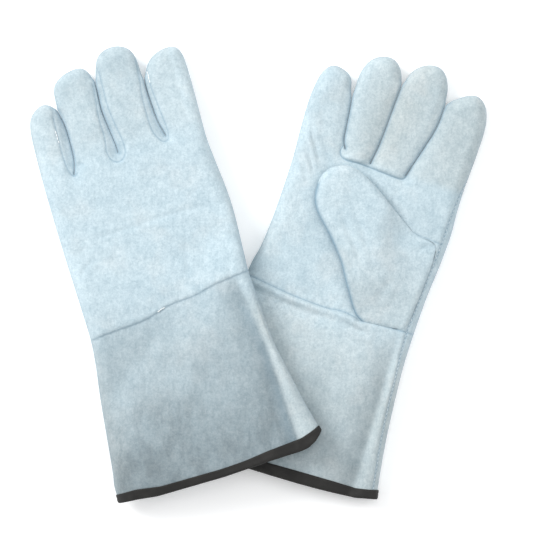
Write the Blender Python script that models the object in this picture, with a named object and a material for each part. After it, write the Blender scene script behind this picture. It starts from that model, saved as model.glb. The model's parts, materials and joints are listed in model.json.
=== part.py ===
"""A pair of leather welding gauntlets laid flat, the left cuff resting across the right cuff.

The right glove lies palm up and the left glove lies back up, so both have the little finger
on the left and the thumb's root on the right. One set of functions makes both. Each glove is
drawn in its own flat frame, in millimetres: x runs towards the index finger, y from the hem to
the fingertips, and w through the thickness, from the outer face of the back (0) to the palm.
"""
import math

import bmesh
import bpy
from mathutils import Vector

MM = 0.001

# Materials' thicknesses and the clearances between sewn pieces
LEATHER = 1.4
LINING = 1.0
SEAM_GAP = 0.4
LINING_GAP = 0.4

# Thickness of the empty, flattened glove from outer face to outer face
HAND_THICK = 18.0
FINGER_THICK = 17.0
THUMB_THICK = 14.0

# Places along the glove, measured from the hem
WRIST_Y = 139.0
KNUCKLE_Y = 258.0
JOINT_GAP = 0.5

# Hem binding, which folds over the cuff's edge, and the welt in the cuff seam
HEM_Y = -6.5
BINDING_THICK = 1.0
BINDING_GAP = 0.4
BINDING_INNER_GAP = 1.0
BINDING_TOP_Y = 0.0
BINDING_INSIDE_Y = -2.0
WELT_WIDE = 1.6
WELT_PROUD = 1.0

# Root line of the thumb on the palm, from its heel beside the cuff seam
THUMB_HEEL = Vector((32.0, 141.0))
THUMB_ROOT_ANGLE = math.radians(67.0)
THUMB_ROOT_LONG = 79.0
THUMB_GAP = 0.6

# Where the left glove rests: on its own thumb, and on the right glove's cuff
LEFT_HAND_LIFT = THUMB_THICK + THUMB_GAP
OVER_CUFF_LIFT = 23.6
LOW_LIFT = 2.0
RIGHT_CORNER = Vector((-36.0, 31.0))
RIGHT_SIDE_NORMAL = Vector((0.762, -0.649))
RIGHT_HEM_NORMAL = Vector((0.562, 0.827))
DRAPE_REACH = 75.0

# Segments of a section: along each flat run and round each side
FINGER_RUN = 2
THUMB_RUN = 3
HAND_RUN = 5
SIDE_ARC = 3
COVER_COLUMNS = 9

# Finger outlines in the flat frame: left and right side at the knuckle and where the tip's
# rounding begins, then the height of the tip
FINGERS = {
    "left": {
        "little": (-72.5, -46.5, -70.5, -43.2, 323.0),
        "ring": (-44.5, -8.0, -43.3, -11.0, 344.0),
        "middle": (-6.0, 31.5, -9.0, 28.2, 353.0),
        "index": (33.5, 66.0, 30.4, 66.0, 340.0),
    },
    "right": {
        "little": (-64.0, -28.2, -65.0, -31.6, 329.0),
        "ring": (-26.0, -2.0, -30.0, 1.4, 349.0),
        "middle": (0.0, 30.0, 3.6, 38.8, 354.0),
        "index": (32.8, 78.0, 41.5, 78.5, 341.0),
    },
}

# Side edges of hand and cuff as (y, left x, right x)
SIDES = {
    "left": ((0, -86.0, 87.0), (22, -83.0, 82.5), (60, -79.5, 75.5), (98, -73.5, 70.0),
             (139, -70.5, 67.5), (185, -72.5, 69.0), (230, -73.0, 67.5), (258, -73.0, 66.0)),
    "right": ((0, -86.0, 87.0), (22, -83.0, 83.0), (60, -78.0, 79.0), (98, -72.5, 76.0),
              (139, -69.0, 74.5), (185, -64.0, 77.5), (230, -63.5, 78.5), (258, -64.0, 78.0)),
}

# Outer faces along the hand and cuff as (y, back w, palm w)
FACES = ((0, 1.7, 18.2), (35, 0.0, 19.0), (105, 0.0, 19.0), (139, 1.2, 16.8),
         (165, 0.0, 18.0), (230, 0.0, 18.0), (258, 0.0, 17.0))

# Middle of each hem on the ground, and how far the glove leans anticlockwise
HEM_PLACE = {"left": Vector((-32.3, -156.0)), "right": Vector((11.7, -158.4))}
LEAN = {"left": math.radians(16.2), "right": math.radians(-18.0)}
SEAM_SLOPE = {"left": 0.13, "right": 0.0}

# How far the hem rises towards the fingertips, as (x, rise); it fades out up the cuff
HEM_RISE = {
    "left": ((-87, 2.0), (-55, 0.0), (0, 0.0), (40, 1.5), (65, 2.5), (80, 6.0), (88, 10.0)),
    "right": ((-87, 2.0), (-40, 1.0), (0, 3.0), (40, 4.5), (70, 6.5), (87, 10.0)),
}
HEM_FADE_Y = 60.0

# Edges of the thumb as (distance from its root, low side, high side), along the root line
THUMB_EDGES = ((0, -1.0, 79.0), (22, 10.0, 83.0), (45, 25.0, 87.0), (80, 41.0, 91.0))
THUMB_TIP = 102.0

# Side edge of the thumb's base on the palm, and the opening beneath it, as (x, y)
COVER_EDGE = ((62.5, 213.0), (72.0, 211.5), (72.6, 190.0), (72.4, 165.0), (71.6, 142.6),
              (52.0, 141.8), (34.0, 141.6))
THUMB_OPENING = ((42.0, 150.0), (66.0, 150.0), (66.0, 204.0), (63.0, 204.0))

LEATHER_COLOUR = (0.60, 0.70, 0.76, 1.0)
LINING_COLOUR = (0.82, 0.80, 0.74, 1.0)
BINDING_COLOUR = (0.035, 0.033, 0.030, 1.0)


def clear_scene():
    for obj in list(bpy.data.objects):
        bpy.data.objects.remove(obj, do_unlink=True)


def material(name, colour, roughness):
    mat = bpy.data.materials.new(name)
    mat.use_nodes = True
    shader = mat.node_tree.nodes["Principled BSDF"]
    shader.inputs["Base Color"].default_value = colour
    shader.inputs["Roughness"].default_value = roughness
    shader.inputs["Metallic"].default_value = 0.0
    return mat


def smoothstep(low, high, value):
    t = min(max((value - low) / (high - low), 0.0), 1.0)
    return t * t * (3.0 - 2.0 * t)


def read_table(table, y, column=1):
    """Value of one column of a table, drawn straight between its rows."""
    if y <= table[0][0]:
        return table[0][column]
    for before, after in zip(table, table[1:]):
        if y <= after[0]:
            t = (y - before[0]) / (after[0] - before[0])
            return before[column] + t * (after[column] - before[column])
    return table[-1][column]


def pair_lift(x, y):
    """Height of the left glove's underside: its thumb holds up the hand, the right cuff the cuff."""
    on_thumb = LOW_LIFT + (LEFT_HAND_LIFT - LOW_LIFT) * smoothstep(50.0, 150.0, y)
    away = Vector((x, y)) - RIGHT_CORNER
    side = min(away.dot(RIGHT_SIDE_NORMAL), 0.0)
    hem = min(away.dot(RIGHT_HEM_NORMAL), 0.0)
    reach = smoothstep(0.0, DRAPE_REACH, math.hypot(side, hem))
    on_cuff = OVER_CUFF_LIFT - (OVER_CUFF_LIFT - LOW_LIFT) * reach
    return (on_thumb ** 6 + on_cuff ** 6) ** (1.0 / 6.0)


def hand_lift(_x, _y):
    return LEFT_HAND_LIFT


def finger_lift(tip):
    """The left glove's fingers slope from the raised hand down to the ground."""
    drop = LEFT_HAND_LIFT + HAND_THICK - FINGER_THICK

    def lift(_x, y):
        share = (y - KNUCKLE_Y) / (tip - 12.0 - KNUCKLE_Y)
        return LEFT_HAND_LIFT - drop * min(max(share, 0.0), 1.0)
    return lift


def to_world(glove, x, y, w, lift=pair_lift, slant=True):
    """A point of the flat frame as a place in the world, in metres."""
    if slant:
        share = smoothstep(20.0, WRIST_Y, y) * (1.0 - smoothstep(WRIST_Y, 235.0, y))
        rise = read_table(HEM_RISE[glove], x) * (1.0 - smoothstep(0.0, HEM_FADE_Y, y))
        y = y + SEAM_SLOPE[glove] * x * share + rise
    z = w if glove == "right" else lift(x, y) + HAND_THICK - w
    lean = LEAN[glove]
    place = HEM_PLACE[glove]
    wx = place.x + x * math.cos(lean) - y * math.sin(lean)
    wy = place.y + x * math.sin(lean) + y * math.cos(lean)
    return Vector((wx, wy, z)) * MM


def section(left, right, back, palm, run):
    """Closed outline of a flattened tube: back run, right side, palm run, left side."""
    radius = min((palm - back) / 2.0, (right - left) / 2.0 - 0.05)
    middle = (palm + back) / 2.0
    points = []
    for i in range(run):
        points.append((left + radius + (right - left - 2 * radius) * i / run, back))
    for i in range(SIDE_ARC):
        angle = -math.pi / 2 + math.pi * i / SIDE_ARC
        points.append((right - radius + radius * math.cos(angle),
                       middle + (palm - back) / 2.0 * math.sin(angle)))
    for i in range(run):
        points.append((right - radius - (right - left - 2 * radius) * i / run, palm))
    for i in range(SIDE_ARC):
        angle = math.pi / 2 + math.pi * i / SIDE_ARC
        points.append((left + radius + radius * math.cos(angle),
                       middle + (palm - back) / 2.0 * math.sin(angle)))
    return points


def marks(run):
    """Places on a section where seams run."""
    return {"back_left": 0, "back_right": run, "palm_right": run + SIDE_ARC,
            "palm_left": 2 * run + SIDE_ARC, "round": 2 * run + 2 * SIDE_ARC}


def walk(outline, start, end, gap):
    """Points of an outline from one mark to another, held back by half a gap at both ends."""
    count = len(outline)

    def at(k):
        return Vector(outline[k % count])
    first, second = at(start), at(start + 1)
    last, before = at(end), at(end - 1)
    points = [first + (second - first).normalized() * gap / 2.0]
    points += [at(k) for k in range(start + 1, end)]
    points.append(last + (before - last).normalized() * gap / 2.0)
    return points


def sheet_faces(rows, columns, offset):
    """Quads of a grid of points, and of its copy on the other side, closed round the border."""
    def corner(side, i, j):
        return side * offset + i * columns + j
    faces = []
    for i in range(rows - 1):
        for j in range(columns - 1):
            for side in (0, 1):
                faces.append((corner(side, i, j), corner(side, i, j + 1),
                              corner(side, i + 1, j + 1), corner(side, i + 1, j)))
    for i in range(rows - 1):
        for j in (0, columns - 1):
            faces.append((corner(0, i, j), corner(0, i + 1, j),
                          corner(1, i + 1, j), corner(1, i, j)))
    for j in range(columns - 1):
        for i in (0, rows - 1):
            faces.append((corner(0, i, j), corner(0, i, j + 1),
                          corner(1, i, j + 1), corner(1, i, j)))
    return faces


def add_node(name, points, faces, mat, parent, smooth=True):
    """A closed mesh as a named object, hung from its body's empty."""
    mesh = bpy.data.meshes.new(name)
    origin = parent.location.copy()
    mesh.from_pydata([p - origin for p in points], [], faces)
    bm = bmesh.new()
    bm.from_mesh(mesh)
    # Layers that lie on each other are split along the same diagonals, so they stay clear
    bmesh.ops.triangulate(bm, faces=bm.faces, quad_method="FIXED")
    bmesh.ops.recalc_face_normals(bm, faces=bm.faces)
    if bm.calc_volume(signed=True) < 0:
        bmesh.ops.reverse_faces(bm, faces=bm.faces)
    bm.to_mesh(mesh)
    bm.free()
    if smooth:
        mesh.shade_smooth()
        mesh.set_sharp_from_angle(angle=math.radians(40.0))
    if mat is not None:
        mesh.materials.append(mat)
    obj = bpy.data.objects.new(name, mesh)
    bpy.context.scene.collection.objects.link(obj)
    obj.parent = parent
    return obj


def add_empty(name, place):
    empty = bpy.data.objects.new(name, None)
    bpy.context.scene.collection.objects.link(empty)
    empty.location = place
    return empty


class Tube:
    """A flattened tube: stations (y, left, right, back, palm) and a map into the world."""

    def __init__(self, stations, run, place, parent):
        self.stations = stations
        self.run = run
        self.place = place
        self.parent = parent

    def outline(self, station, inset):
        _y, left, right, back, palm = station
        half_wide = max((right - left) / 2.0 - inset, 0.35)
        half_thick = max((palm - back) / 2.0 - inset, 0.3)
        x, w = (left + right) / 2.0, (back + palm) / 2.0
        return section(x - half_wide, x + half_wide, w - half_thick, w + half_thick, self.run)

    def panel(self, name, start, end, mat):
        """A leather piece between two seams."""
        grid = []
        for inset in (0.0, LEATHER):
            for station in self.stations:
                points = walk(self.outline(station, inset), start, end, SEAM_GAP)
                grid += [self.place(p.x, station[0], p.y) for p in points]
        rows, columns = len(self.stations), end - start + 1
        return add_node(name, grid, sheet_faces(rows, columns, rows * columns), mat, self.parent)

    def sleeve(self, name, outer, inner, mat, closed_tip=False):
        """A tube all the way round, from one inset to another, open unless its tip is closed."""
        grid, faces = [], []
        count = len(self.outline(self.stations[0], outer))
        rows = len(self.stations)
        for inset in (outer, inner):
            for k, station in enumerate(self.stations):
                y = station[0]
                if closed_tip:
                    y -= inset * k / (rows - 1)
                grid += [self.place(x, y, w) for x, w in self.outline(station, inset)]
        for i in range(rows - 1):
            for j in range(count):
                for side in (0, 1):
                    base = side * rows * count
                    a, b = base + i * count + j, base + i * count + (j + 1) % count
                    faces.append((a, b, b + count, a + count))
        ends = (0,) if closed_tip else (0, rows - 1)
        for i in ends:
            for j in range(count):
                a, b = i * count + j, i * count + (j + 1) % count
                faces.append((a, b, b + rows * count, a + rows * count))
        if closed_tip:
            for side in (0, 1):
                base = side * rows * count + (rows - 1) * count
                faces.append(tuple(base + j for j in range(count)))
        return add_node(name, grid, faces, mat, self.parent)


def tip_stations(left, right, tip_y, back, palm, reach):
    """Stations of a rounded tip, from where the rounding begins to the very end."""
    half, middle = (right - left) / 2.0, (right + left) / 2.0
    thick, centre = (palm - back) / 2.0, (palm + back) / 2.0
    rows = []
    for degrees in (0, 30, 55, 75, 88):
        angle = math.radians(degrees)
        deep = max(thick * (0.25 + 0.75 * math.cos(angle)), 1.9)
        wide = max(half * math.cos(angle) ** 0.85, deep + 1.5)
        rows.append((tip_y - reach * (1.0 - math.sin(angle)),
                     middle - wide, middle + wide, centre - deep, centre + deep))
    return rows


def finger_stations(shape):
    base_left, base_right, far_left, far_right, tip_y = shape
    reach = 0.55 * (far_right - far_left)
    near_y, far_y = KNUCKLE_Y + JOINT_GAP, tip_y - reach
    rows = []
    for t in (0.0, 0.5):
        rows.append((near_y + (far_y - near_y) * t, base_left + (far_left - base_left) * t,
                     base_right + (far_right - base_right) * t, 0.0, FINGER_THICK))
    return rows + tip_stations(far_left, far_right, tip_y, 0.0, FINGER_THICK, reach)


def make_finger(glove, name, shape, mats):
    """Back, front, the fourchette halves beside its neighbours, and the lining of one finger."""
    lift = finger_lift(shape[4])

    def place(x, y, w):
        return to_world(glove, x, y, w, lift, slant=False)
    stem = f"{glove}_{name}"
    middle = (shape[0] + shape[1]) / 2.0
    body = add_empty(f"{stem}_joint", place(middle, KNUCKLE_Y, FINGER_THICK + JOINT_GAP))
    tube = Tube(finger_stations(shape), FINGER_RUN, place, body)
    m = marks(FINGER_RUN)
    back_start = m["palm_left"] if name == "little" else m["round"]
    back_end = m["round"] + (m["palm_right"] if name == "index" else m["back_right"])
    tube.panel(f"{stem}_back", back_start, back_end, mats["leather"])
    tube.panel(f"{stem}_front", m["palm_right"], m["palm_left"], mats["leather"])
    if name != "index":
        tube.panel(f"{stem}_fourchette_right", m["back_right"], m["palm_right"], mats["leather"])
    if name != "little":
        tube.panel(f"{stem}_fourchette_left", m["palm_left"], m["round"], mats["leather"])
    inset = LEATHER + LINING_GAP
    tube.sleeve(f"{stem}_lining", inset, inset + LINING, mats["lining"], closed_tip=True)


def thumb_point(u, v):
    """A point of the flat frame from its distance off the root line and its place along it."""
    along = Vector((math.cos(THUMB_ROOT_ANGLE), math.sin(THUMB_ROOT_ANGLE)))
    out = Vector((-along.y, along.x))
    return THUMB_HEEL + along * v + out * u


def thumb_place(glove):
    def place(v, u, w):
        p = thumb_point(u, v)
        return to_world(glove, p.x, p.y, w, hand_lift, slant=False)
    return place


def make_thumb(glove, mats):
    """The thumb, folded across the palm: front, back and lining on a hinge at its root."""
    near, far = HAND_THICK + THUMB_GAP, HAND_THICK + THUMB_GAP + THUMB_THICK
    place = thumb_place(glove)
    body = add_empty(f"{glove}_thumb_joint", place(THUMB_ROOT_LONG / 2.0, 0.0, far + JOINT_GAP))
    rows = []
    for u in (JOINT_GAP, 22.0, 45.0):
        rows.append((u, read_table(THUMB_EDGES, u), read_table(THUMB_EDGES, u, 2), near, far))
    _u, low, high = THUMB_EDGES[-1]
    rows += tip_stations(low, high, THUMB_TIP, near, far, THUMB_TIP - _u)
    tube = Tube(rows, THUMB_RUN, place, body)
    m = marks(THUMB_RUN)
    tube.panel(f"{glove}_thumb_front", m["back_right"], m["round"], mats["leather"])
    tube.panel(f"{glove}_thumb_back", 0, m["back_right"], mats["leather"])
    inset = LEATHER + LINING_GAP
    tube.sleeve(f"{glove}_thumb_lining", inset, inset + LINING, mats["lining"], closed_tip=True)


def make_thumb_base(glove, body, mats):
    """The part of the thumb piece that is sewn down over the palm's thumb opening."""
    place = thumb_place(glove)
    floor_w = HAND_THICK + 0.35
    half, high = THUMB_ROOT_LONG / 2.0, THUMB_THICK
    centre = Vector((58.0, 175.0))
    grid = []
    for inset, hem in ((0.0, 0.0), (LEATHER, 3.0)):
        for k in range(COVER_COLUMNS):
            t = k / (COVER_COLUMNS - 1)
            v = half + (half - inset) * math.cos(math.pi * t)
            w = floor_w + (high - inset) * math.sin(math.pi * t) ** 0.45
            grid.append(place(v, -JOINT_GAP, w))
        for k in range(COVER_COLUMNS):
            t = (len(COVER_EDGE) - 1) * k / (COVER_COLUMNS - 1)
            i = min(int(t), len(COVER_EDGE) - 2)
            edge = Vector(COVER_EDGE[i]).lerp(Vector(COVER_EDGE[i + 1]), t - i)
            edge += (centre - edge).normalized() * hem
            grid.append(to_world(glove, edge.x, edge.y, floor_w))
    faces = sheet_faces(2, COVER_COLUMNS, 2 * COVER_COLUMNS)
    add_node(f"{glove}_thumb_base", grid, faces, mats["leather"], body)


def add_thumb_opening(glove, body, pieces):
    """Cuts the thumb's opening through the palm and its lining."""
    low, high = HAND_THICK - 4.0, HAND_THICK + 0.2
    count = len(THUMB_OPENING)
    points = [to_world(glove, x, y, w) for w in (low, high) for x, y in THUMB_OPENING]
    faces = [tuple(range(count)), tuple(range(count, 2 * count))]
    faces += [(i, (i + 1) % count, (i + 1) % count + count, i + count) for i in range(count)]
    cutter = add_node(f"{glove}_thumb_cutter", points, faces, None, body, smooth=False)
    cutter.hide_render = True
    cutter.display_type = "WIRE"
    for piece in pieces:
        cut = piece.modifiers.new("thumb_opening", "BOOLEAN")
        cut.operation = "DIFFERENCE"
        cut.solver = "EXACT"
        cut.object = cutter


def body_stations(glove, places):
    rows = []
    for y in places:
        rows.append((y, read_table(SIDES[glove], y), read_table(SIDES[glove], y, 2),
                     read_table(FACES, y), read_table(FACES, y, 2)))
    return rows


def make_hand_and_cuff(glove, body, mats):
    """Hand, cuff, their linings, the welt between them and the binding of the hem."""
    def place(x, y, w):
        return to_world(glove, x, y, w)
    m = marks(HAND_RUN)
    inset = LEATHER + LINING_GAP
    seam = WELT_WIDE / 2.0 + BINDING_GAP
    hand_top = KNUCKLE_Y - JOINT_GAP
    hand = Tube(body_stations(glove, (WRIST_Y + seam, 150, 165, 200, 230, hand_top)),
                HAND_RUN, place, body)
    cuff = Tube(body_stations(glove, (HEM_Y, BINDING_TOP_Y, 18, 40, 65, 90, 115, WRIST_Y - seam)),
                HAND_RUN, place, body)
    around = (m["palm_left"], m["round"] + m["palm_right"])
    hand.panel(f"{glove}_hand_back", *around, mats["leather"])
    palm = hand.panel(f"{glove}_palm", m["palm_right"], m["palm_left"], mats["leather"])
    cuff.panel(f"{glove}_cuff_back", *around, mats["leather"])
    cuff.panel(f"{glove}_cuff_front", m["palm_right"], m["palm_left"], mats["leather"])
    lining = hand.sleeve(f"{glove}_hand_lining", inset, inset + LINING, mats["lining"])
    cuff.sleeve(f"{glove}_cuff_lining", inset, inset + LINING, mats["lining"])
    make_thumb_base(glove, body, mats)
    add_thumb_opening(glove, body, (palm, lining))

    low, high = WRIST_Y - WELT_WIDE / 2.0, WRIST_Y + WELT_WIDE / 2.0
    make_band(f"{glove}_seam_welt", glove, body, mats["leather"],
              ((low, -WELT_PROUD), (high, -WELT_PROUD), (high, LEATHER), (low, LEATHER)))
    outside, inside = -BINDING_GAP, inset + LINING + BINDING_INNER_GAP
    foot = HEM_Y - BINDING_GAP
    make_band(f"{glove}_hem_binding", glove, body, mats["binding"],
              ((BINDING_TOP_Y, outside), (BINDING_TOP_Y, outside - BINDING_THICK),
               (foot - BINDING_THICK, outside - BINDING_THICK),
               (foot - BINDING_THICK, inside + BINDING_THICK),
               (BINDING_INSIDE_Y, inside + BINDING_THICK), (BINDING_INSIDE_Y, inside),
               (foot, inside), (foot, outside)))


def make_band(name, glove, body, mat, profile):
    """A closed band round the glove; its profile is (y, inset from the leather's face)."""
    grid, faces = [], []
    for y, inset in profile:
        tube = Tube(body_stations(glove, (y,)), HAND_RUN, None, None)
        grid += [to_world(glove, x, y, w) for x, w in tube.outline(tube.stations[0], inset)]
    count, rows = marks(HAND_RUN)["round"], len(profile)
    for i in range(rows):
        for j in range(count):
            k, nxt = (i + 1) % rows, (j + 1) % count
            faces.append((i * count + j, i * count + nxt, k * count + nxt, k * count + j))
    return add_node(name, grid, faces, mat, body)


def make_glove(glove, mats):
    body = add_empty(f"{glove}_hand_body", to_world(glove, 0.0, WRIST_Y, 0.0))
    make_hand_and_cuff(glove, body, mats)
    make_thumb(glove, mats)
    for name, shape in FINGERS[glove].items():
        make_finger(glove, name, shape, mats)


def main():
    clear_scene()
    mats = {
        "leather": material("split_leather", LEATHER_COLOUR, 0.9),
        "lining": material("cotton_lining", LINING_COLOUR, 0.95),
        "binding": material("black_binding", BINDING_COLOUR, 0.6),
    }
    for glove in ("right", "left"):
        make_glove(glove, mats)


main()
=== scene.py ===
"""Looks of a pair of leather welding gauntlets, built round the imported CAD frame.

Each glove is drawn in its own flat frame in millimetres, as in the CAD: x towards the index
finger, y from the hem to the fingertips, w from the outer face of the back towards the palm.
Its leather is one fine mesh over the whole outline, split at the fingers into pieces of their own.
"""
import json
import math
import random

import bpy
import numpy as np
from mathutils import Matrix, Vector, noise
from mathutils.geometry import delaunay_2d_cdt


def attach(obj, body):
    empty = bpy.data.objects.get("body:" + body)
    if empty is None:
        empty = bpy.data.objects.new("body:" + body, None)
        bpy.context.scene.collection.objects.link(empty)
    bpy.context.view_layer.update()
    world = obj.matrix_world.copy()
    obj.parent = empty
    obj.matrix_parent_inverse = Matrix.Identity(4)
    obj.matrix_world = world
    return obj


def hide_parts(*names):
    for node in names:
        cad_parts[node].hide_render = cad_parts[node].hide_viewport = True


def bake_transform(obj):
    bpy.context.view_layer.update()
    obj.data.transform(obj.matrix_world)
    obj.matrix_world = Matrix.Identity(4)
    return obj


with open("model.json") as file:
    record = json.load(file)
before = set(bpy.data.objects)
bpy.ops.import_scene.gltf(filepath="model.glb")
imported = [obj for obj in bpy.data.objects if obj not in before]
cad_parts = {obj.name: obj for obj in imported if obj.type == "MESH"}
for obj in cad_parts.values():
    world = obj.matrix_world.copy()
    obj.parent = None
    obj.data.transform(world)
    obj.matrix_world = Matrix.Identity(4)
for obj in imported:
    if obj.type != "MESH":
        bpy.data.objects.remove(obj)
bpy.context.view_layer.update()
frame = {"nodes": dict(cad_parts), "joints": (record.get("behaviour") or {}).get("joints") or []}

MM = 0.001

# The CAD's driving dimensions, in millimetres
HAND_THICK = 18.0
FINGER_THICK = 17.0
THUMB_THICK = 14.0
THUMB_GAP = 0.6
KNUCKLE_Y = 258.0
THUMB_HEEL = (32.0, 141.0)
THUMB_ROOT_ANGLE = math.radians(67.0)
THUMB_ROOT_LONG = 79.0
LEFT_HAND_LIFT = THUMB_THICK + THUMB_GAP
OVER_CUFF_LIFT = 23.6
LOW_LIFT = 2.0
RIGHT_CORNER = (-36.0, 31.0)
RIGHT_SIDE_NORMAL = (0.762, -0.649)
RIGHT_HEM_NORMAL = (0.562, 0.827)
DRAPE_REACH = 75.0
INDEX_MIDDLE = {"left": (33.5 + 66.0) / 2.0, "right": (32.8 + 78.0) / 2.0}
FINGER_ORDER = ("little", "ring", "middle", "index")
FINGER_TIPS = {"left": (323.0, 344.0, 353.0, 340.0), "right": (329.0, 349.0, 354.0, 341.0)}

# Spacing of the leather mesh: over the faces, and near edges and seams
GRID = 1.9
EDGE_STEP = 1.5
EDGE_RINGS = (0.35, 1.0, 2.0, 3.4, 5.0)
SIDE_ROUND = 10.5

# Outline of the left glove, seen from its back: side, fingers from little to index, side
OUTLINE = {
    "left": {
        "side_up": (
            (-86, -8), (-86.3, 8), (-84.3, 20), (-81, 48), (-77.4, 80), (-73.2, 108), (-71.4, 128),
            (-71.5, 150), (-72.6, 200), (-73, 240), (-72.6, 280), (-71.2, 306)
        ),
        "little": (
            (-71.2, 306), (-66.5, 317.5), (-57, 323), (-49.8, 320.5), (-45.8, 313.5), (-43.4, 302),
            (-43.0, 286), (-44.0, 272), (-47.2, 261.5)
        ),
        "ring": (
            (-45.8, 260.5), (-42.6, 272), (-41.8, 286), (-42.0, 300), (-43.9, 312), (-44.9, 322),
            (-43.5, 333), (-38, 339.5), (-29, 343.2), (-20, 344), (-14.5, 341), (-10.9, 333),
            (-10.3, 322), (-11.2, 305), (-9.6, 288), (-8.1, 275), (-8.0, 268.4)
        ),
        "middle": (
            (-6.6, 268.2), (-6.6, 275), (-8.1, 288), (-9.8, 305), (-9.3, 318), (-8.4, 329),
            (-6, 340), (-2, 348), (4, 352), (13, 353), (20.5, 350.5), (25.6, 345.5), (28, 337.5),
            (28.5, 326), (28.2, 314), (28.6, 300), (29.8, 285), (33.0, 270.5)
        ),
        "index": (
            (34.4, 271.0), (31.2, 285), (30.0, 300), (29.5, 314), (31, 322), (34, 329),
            (39.5, 335.3), (47, 339), (56, 340.2), (62, 338), (65.2, 331), (66, 318), (66, 300)
        ),
        "side_down": (
            (66, 300), (65.5, 280), (65.2, 260), (66.8, 240), (68.8, 220), (69.8, 200), (69.2, 180),
            (68.2, 160), (67.6, 147), (68.4, 130), (69.8, 105), (71.4, 85), (74.6, 68), (78, 50),
            (82, 30), (86, 14), (88.4, 2)
        ),
        "hem": (
            (88.4, 5.5), (82, 2.2), (72, -1.8), (60, -2.6), (40, -2.9), (20, -4), (0, -5),
            (-30, -5.3), (-55, -5.3), (-72, -3.8), (-86, -2.8)
        ),
    },
    "right": {
        "side_up": (
            (-87, -6), (-84.5, 14), (-80.5, 45), (-76, 85), (-72.5, 120), (-70.2, 143),
            (-68.4, 158), (-66, 169), (-64.3, 186), (-63.4, 206), (-63.1, 243), (-64.5, 270),
            (-65.3, 290), (-64.8, 305)
        ),
        "little": (
            (-64.8, 305), (-62.3, 319.5), (-56.5, 328), (-49, 329), (-41, 326), (-37, 321),
            (-34.8, 312), (-33.0, 306), (-31.6, 298), (-30.0, 283), (-28.6, 273), (-25.6, 266.5)
        ),
        "ring": (
            (-24.2, 267.5), (-27.4, 274), (-28.8, 284), (-30.4, 298), (-31.9, 310), (-32.6, 322),
            (-31.2, 334), (-26.5, 343), (-19, 348), (-11, 349), (-4.5, 345.5), (0.4, 338),
            (2.0, 328), (1.4, 310), (0.6, 290), (-0.2, 277), (-2.2, 262)
        ),
        "middle": (
            (-1.0, 262), (1.2, 277), (2.0, 290), (2.8, 310), (3.6, 325), (5.2, 337), (9, 345.5),
            (16, 351.5), (24, 354), (31, 352.5), (36.5, 346.5), (40.2, 337), (41.0, 325),
            (40.6, 312), (39.0, 301), (36.0, 290), (31.6, 274), (28.0, 261.5)
        ),
        "index": (
            (29.4, 261), (33.1, 274), (37.4, 289.5), (40.4, 301), (42.0, 312), (42.6, 324),
            (45.5, 330.5), (51, 335), (57.5, 339.2), (64, 341), (70, 338.5), (75, 332), (78, 323),
            (79, 312)
        ),
        "side_down": (
            (79, 312), (78.8, 292), (77.8, 265), (78, 245), (79, 228), (78.5, 208), (77.3, 190),
            (76, 174), (75.2, 150), (75, 125), (75.5, 108), (76.6, 92), (78.3, 72), (80.5, 50),
            (83.5, 28), (87, 6)
        ),
        "hem": (
            (87, 6.5), (78, 4.5), (68, 2.5), (50, 2), (20, 0.8), (0, 0), (-30, -1), (-60, -1),
            (-87, 0)
        ),
    },
}

# Level where each finger's own mesh begins, little finger to index
FINGER_ROOTS = {"left": (262.5, 262.5, 269.5, 271.5), "right": (267.5, 263.5, 263.5, 263.0)}
BLEND_LONG = 22.0
BLEND_AFTER_ROOT = 2.0
FINGER_GAP = 0.3
CREVICE_LIFT = 0.58

# Nearer than this to an outline a vertex lies on it, and both faces of the leather share it
ON_EDGE = 0.02

# Seams: the points of each line in the flat frame, with the depth of its groove and the
# height of the roll on its left-hand side, walking along the points
SEAMS = {
    "left": {
        "little_fourchette": ((
            (-50.4, 310), (-51, 292), (-51.2, 276), (-50, 265.5), (-47, 259.6), (-43.5, 261.5)
        ), 0.7, -0.5),
        "ring_fourchette": ((
            (-11.8, 328), (-12.7, 318), (-14.6, 300), (-14.4, 283), (-16, 271), (-13.8, 264),
            (-8.6, 261), (-3.6, 263.5), (-1, 270), (-1.5, 280), (-3.3, 291), (-5, 306), (-4.8, 321),
            (-4.2, 336)
        ), 0.7, -0.45),
        "middle_fourchette": ((
            (27, 338), (26, 321), (24, 306), (23.8, 283), (25.6, 274), (30, 267.2), (34.6, 267.4),
            (36.4, 275), (35.4, 287), (34.2, 300), (33.2, 312), (33.6, 325)
        ), 0.7, -0.45),
        "cuff_seam": ((
            (-73, 127.5), (-60, 129), (-45, 130.2), (-30, 131), (-20, 132.6), (-10, 135.6),
            (0, 138), (20, 139.6), (35, 143), (50, 145.2), (70, 147.2)
        ), 0.55, 0.6),
    },
    "right": {
        "cross_seam": ((
            (-27.6, 268), (-28, 263.5), (-25.4, 259.8), (-20, 258.4), (-10, 258.9), (0, 258.5),
            (10, 257.8), (24, 257.2), (28.4, 258.8), (29.4, 262.5)
        ), 1.2, 1.3),
        "cuff_seam": ((
            (-73, 145.5), (-52, 143), (-40, 141.5), (-25, 140), (0, 139), (13, 140.3), (25, 139),
            (30, 137.4), (45, 139), (76, 140.2)
        ), 0.8, -1.0),
        "side_seam": ((
            (78, 275), (75.4, 257), (74.3, 240), (73.8, 216), (73, 200), (72, 188), (71, 170),
            (69.6, 150), (69, 140), (70, 120), (72, 98), (74, 70), (76.2, 50), (79.2, 30), (83, 6)
        ), 0.9, 0.4),
        "thumb_join": ((
            (47, 219.4), (54, 218.2), (62, 217.8), (74, 217)
        ), 0.6, 0.3),
    },
}

# The long fold down each cuff: level and x of its deepest line
LEFT_VALLEY = ((-10, 66.5), (20, 65), (50, 64.5), (80, 63), (110, 59.5), (148, 53))
RIGHT_VALLEY = ((-5, 65), (40, 64.5), (90, 64), (130, 62))

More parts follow.
